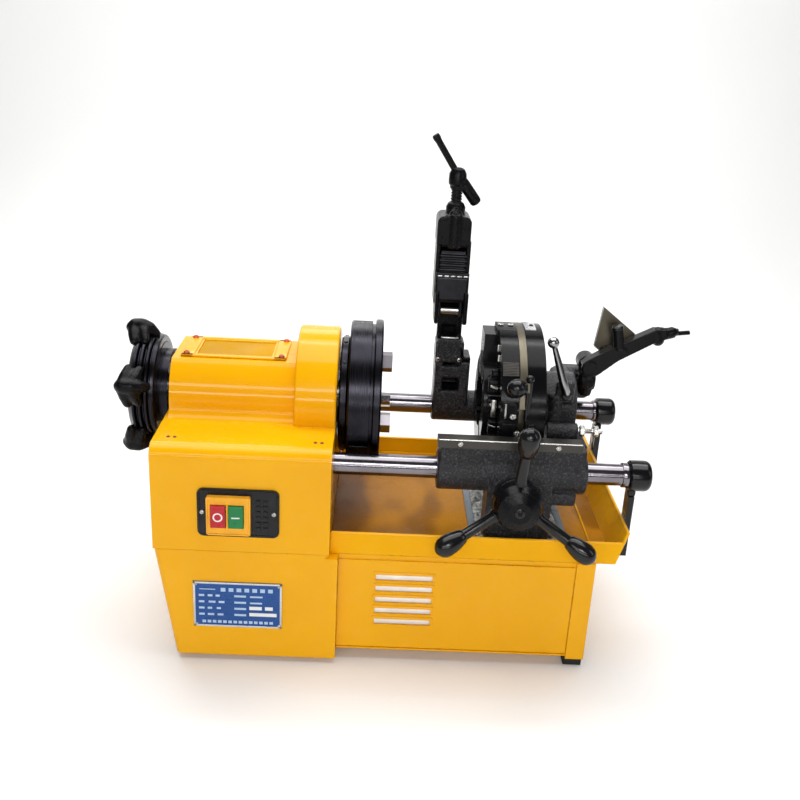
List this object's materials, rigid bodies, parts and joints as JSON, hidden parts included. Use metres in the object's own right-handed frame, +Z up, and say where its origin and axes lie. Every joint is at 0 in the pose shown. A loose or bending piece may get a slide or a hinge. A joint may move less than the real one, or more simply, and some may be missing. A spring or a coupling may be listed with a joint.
{
  "type": "pipe threading machine",
  "caption": "Bench pipe threading machine: hollow spindle with hammer chuck, motor headstock and oil tray, and a rod-guided carriage with swing-up cutter, die head and reamer.",
  "frame": {"origin": "centre of the four stand bolt holes, on the plane the feet rest on", "axes": "+X along the spindle towards the tool end, +Y to the back, +Z up"},
  "size_m": [0.7654, 0.3808, 0.6535],
  "materials": {
    "yellow_paint": "glossy orange-yellow enamel",
    "black_enamel": "gloss black enamel",
    "cast_black": "rough black cast iron",
    "ground_steel": "ground and polished steel",
    "dark_steel": "oiled dark steel",
    "chrome": "bright chrome",
    "black_plastic": "satin black moulding",
    "switch_yellow": "orange-yellow moulding",
    "stop_red": "red moulding",
    "start_green": "green moulding",
    "plate_blue": "blue printed aluminium",
    "filter_grey": "oily perforated sheet",
    "bronze": "sintered bronze",
    "rubber_black": "moulded rubber"
  },
  "bodies": {
    "frame": {"headstock_lower": "yellow_paint", "headstock_upper": "yellow_paint", "base_cabinet": "yellow_paint", "front_panel": "yellow_paint", "foot_pads": "rubber_black", "chip_tray": "yellow_paint", "chip_filter": "filter_grey", "side_cover": "yellow_paint", "barrel_cover": "yellow_paint", "switch_plate": "black_plastic", "switch_frame": "switch_yellow", "name_plate": "plate_blue", "case_screws": "black_enamel", "cable_gland": "black_plastic", "guide_rod_front": "ground_steel", "guide_rod_rear": "ground_steel", "rod_end_caps": "black_enamel", "rod_brackets": "black_enamel", "spindle_bushes": "bronze", "motor": "black_enamel", "oil_pump": "black_enamel"},
    "stop_button": {"stop_button": "stop_red"},
    "start_button": {"start_button": "start_green"},
    "spindle": {"spindle": "ground_steel", "spindle_gear": "dark_steel", "chuck_body": "black_enamel", "rear_chuck_body": "black_enamel"},
    "chuck_ring": {"chuck_ring": "black_enamel"},
    "rear_wheel": {"rear_wheel": "black_enamel"},
    "idler": {"idler_gears": "dark_steel"},
    "motor_shaft": {"motor_shaft": "dark_steel"},
    "carriage": {"carriage_front": "cast_black", "carriage_bridge": "cast_black", "carriage_strip": "ground_steel", "carriage_bolts": "ground_steel", "cutter_spring": "dark_steel"},
    "feed_wheel": {"feed_hub": "black_enamel", "feed_handles": "black_enamel"},
    "die_head": {"die_head_body": "cast_black"},
    "cam_ring": {"cam_ring": "dark_steel"},
    "die_lever": {"die_lever": "chrome"},
    "cutter": {"cutter_frame": "cast_black"},
    "cutter_wheel": {"cutter_wheel": "dark_steel"},
    "cutter_slide": {"cutter_slide": "dark_steel"},
    "cutter_roller_front": {"cutter_roller_front": "chrome"},
    "cutter_roller_rear": {"cutter_roller_rear": "chrome"},
    "cutter_screw": {"cutter_screw": "dark_steel"},
    "reamer_arm": {"reamer_arm": "cast_black"},
    "reamer_lever": {"reamer_lever": "black_enamel", "reamer_blade": "ground_steel"},
    "chuck_jaw_1": {"chuck_jaw_1": "dark_steel"},
    "rear_jaw_1": {"rear_jaw_1": "dark_steel"},
    "chuck_jaw_2": {"chuck_jaw_2": "dark_steel"},
    "rear_jaw_2": {"rear_jaw_2": "dark_steel"},
    "chuck_jaw_3": {"chuck_jaw_3": "dark_steel"},
    "rear_jaw_3": {"rear_jaw_3": "dark_steel"},
    "chaser_1": {"chaser_1": "dark_steel"},
    "chaser_2": {"chaser_2": "dark_steel"},
    "chaser_3": {"chaser_3": "dark_steel"},
    "chaser_4": {"chaser_4": "dark_steel"}
  },
  "joints": [
    {"name": "spindle_spin", "type": "hinge", "parent": "frame", "child": "spindle", "pos_m": [0, 0, 0.316], "axis": [1, 0, 0], "continuous": true},
    {"name": "idler_spin", "type": "hinge", "parent": "frame", "child": "idler", "pos_m": [0, 0, 0.229], "axis": [1, 0, 0], "continuous": true},
    {"name": "motor_spin", "type": "hinge", "parent": "frame", "child": "motor_shaft", "pos_m": [0, 0, 0.1795], "axis": [1, 0, 0], "continuous": true},
    {"name": "chuck_ring_turn", "type": "hinge", "parent": "spindle", "child": "chuck_ring", "pos_m": [0, 0, 0.316], "axis": [1, 0, 0], "range_deg": [0, 330]},
    {"name": "rear_wheel_turn", "type": "hinge", "parent": "spindle", "child": "rear_wheel", "pos_m": [0, 0, 0.316], "axis": [1, 0, 0], "range_deg": [0, 330]},
    {"name": "chuck_jaw_1_slide", "type": "slide", "parent": "spindle", "child": "chuck_jaw_1", "axis": [0, 0, 1], "range_m": [-0.0221, 0]},
    {"name": "rear_jaw_1_slide", "type": "slide", "parent": "spindle", "child": "rear_jaw_1", "axis": [0, 0, 1], "range_m": [-0.0221, 0]},
    {"name": "chuck_jaw_2_slide", "type": "slide", "parent": "spindle", "child": "chuck_jaw_2", "axis": [0, -0.866, -0.5], "range_m": [-0.0221, 0]},
    {"name": "rear_jaw_2_slide", "type": "slide", "parent": "spindle", "child": "rear_jaw_2", "axis": [0, -0.866, -0.5], "range_m": [-0.0221, 0]},
    {"name": "chuck_jaw_3_slide", "type": "slide", "parent": "spindle", "child": "chuck_jaw_3", "axis": [0, 0.866, -0.5], "range_m": [-0.0221, 0]},
    {"name": "rear_jaw_3_slide", "type": "slide", "parent": "spindle", "child": "rear_jaw_3", "axis": [0, 0.866, -0.5], "range_m": [-0.0221, 0]},
    {"name": "carriage_slide", "type": "slide", "parent": "frame", "child": "carriage", "axis": [1, 0, 0], "range_m": [-0.066, 0.045]},
    {"name": "feed_turn", "type": "hinge", "parent": "carriage", "child": "feed_wheel", "pos_m": [0.154, 0, 0.24], "axis": [0, 1, 0], "range_deg": [-290, 450]},
    {"name": "die_head_swing", "type": "hinge", "parent": "carriage", "child": "die_head", "pos_m": [0, 0.11, 0.262], "axis": [1, 0, 0], "range_deg": [-95, 0]},
    {"name": "cam_turn", "type": "hinge", "parent": "die_head", "child": "cam_ring", "pos_m": [0, 0, 0.316], "axis": [1, 0, 0], "range_deg": [0, 14]},
    {"name": "die_lever_turn", "type": "hinge", "parent": "carriage", "child": "die_lever", "pos_m": [0.221, 0, 0.347], "axis": [0, 1, 0], "range_deg": [0, 40]},
    {"name": "cutter_swing", "type": "hinge", "parent": "carriage", "child": "cutter", "pos_m": [0, 0.11, 0.262], "axis": [1, 0, 0], "range_deg": [0, 64]},
    {"name": "cutter_wheel_spin", "type": "hinge", "parent": "cutter", "child": "cutter_wheel", "pos_m": [0.075, 0.112, 0.35], "axis": [1, 0, 0], "continuous": true},
    {"name": "cutter_feed", "type": "slide", "parent": "cutter", "child": "cutter_slide", "axis": [0, 0, -1], "range_m": [-0.004, 0.01]},
    {"name": "cutter_screw_turn", "type": "hinge", "parent": "cutter_slide", "child": "cutter_screw", "pos_m": [0.0715, 0.112, 0.5], "axis": [0, 0, 1], "range_deg": [-905, 365]},
    {"name": "roller_front_spin", "type": "hinge", "parent": "cutter_slide", "child": "cutter_roller_front", "pos_m": [0.072, 0.102, 0.41], "axis": [1, 0, 0], "continuous": true},
    {"name": "roller_rear_spin", "type": "hinge", "parent": "cutter_slide", "child": "cutter_roller_rear", "pos_m": [0.072, 0.1175, 0.41], "axis": [1, 0, 0], "continuous": true},
    {"name": "reamer_swing", "type": "hinge", "parent": "carriage", "child": "reamer_arm", "pos_m": [0.27, 0.075, 0.326], "axis": [1, 0, 0], "range_deg": [0, 94]},
    {"name": "reamer_tilt", "type": "hinge", "parent": "reamer_arm", "child": "reamer_lever", "pos_m": [0.27, 0.075, 0.351], "axis": [0, 1, 0], "range_deg": [0, 20]},
    {"name": "stop_press", "type": "slide", "parent": "frame", "child": "stop_button", "axis": [0, 1, 0], "range_m": [0, 0.0026], "stiffness_N_per_m": 400, "springref_m": -0.002},
    {"name": "start_press", "type": "slide", "parent": "frame", "child": "start_button", "axis": [0, 1, 0], "range_m": [0, 0.0026], "stiffness_N_per_m": 400, "springref_m": -0.002},
    {"name": "chaser_1_slide", "type": "slide", "parent": "die_head", "child": "chaser_1", "axis": [0, 0.7071, 0.7071], "range_m": [-0.0036, 0]},
    {"name": "chaser_2_slide", "type": "slide", "parent": "die_head", "child": "chaser_2", "axis": [0, -0.7071, 0.7071], "range_m": [-0.0036, 0]},
    {"name": "chaser_3_slide", "type": "slide", "parent": "die_head", "child": "chaser_3", "axis": [0, -0.7071, -0.7071], "range_m": [-0.0036, 0]},
    {"name": "chaser_4_slide", "type": "slide", "parent": "die_head", "child": "chaser_4", "axis": [0, 0.7071, -0.7071], "range_m": [-0.0036, 0]}
  ],
  "couplings": [
    {"joint": "idler_spin", "follows": "spindle_spin", "ratio": -4.8},
    {"joint": "motor_spin", "follows": "spindle_spin", "ratio": 21.6},
    {"joint": "chuck_jaw_1_slide", "follows": "chuck_ring_turn", "m_per_rad": -0.0038197},
    {"joint": "rear_jaw_1_slide", "follows": "rear_wheel_turn", "m_per_rad": -0.0038197},
    {"joint": "chuck_jaw_2_slide", "follows": "chuck_ring_turn", "m_per_rad": -0.0038197},
    {"joint": "rear_jaw_2_slide", "follows": "rear_wheel_turn", "m_per_rad": -0.0038197},
    {"joint": "chuck_jaw_3_slide", "follows": "chuck_ring_turn", "m_per_rad": -0.0038197},
    {"joint": "rear_jaw_3_slide", "follows": "rear_wheel_turn", "m_per_rad": -0.0038197},
    {"joint": "feed_turn", "follows": "carriage_slide", "rad_per_m": -111.11},
    {"joint": "cutter_screw_turn", "follows": "cutter_feed", "rad_per_m": -1570.8},
    {"joint": "chaser_1_slide", "follows": "cam_turn", "m_per_rad": -0.014324},
    {"joint": "chaser_2_slide", "follows": "cam_turn", "m_per_rad": -0.014324},
    {"joint": "chaser_3_slide", "follows": "cam_turn", "m_per_rad": -0.014324},
    {"joint": "chaser_4_slide", "follows": "cam_turn", "m_per_rad": -0.014324}
  ]
}
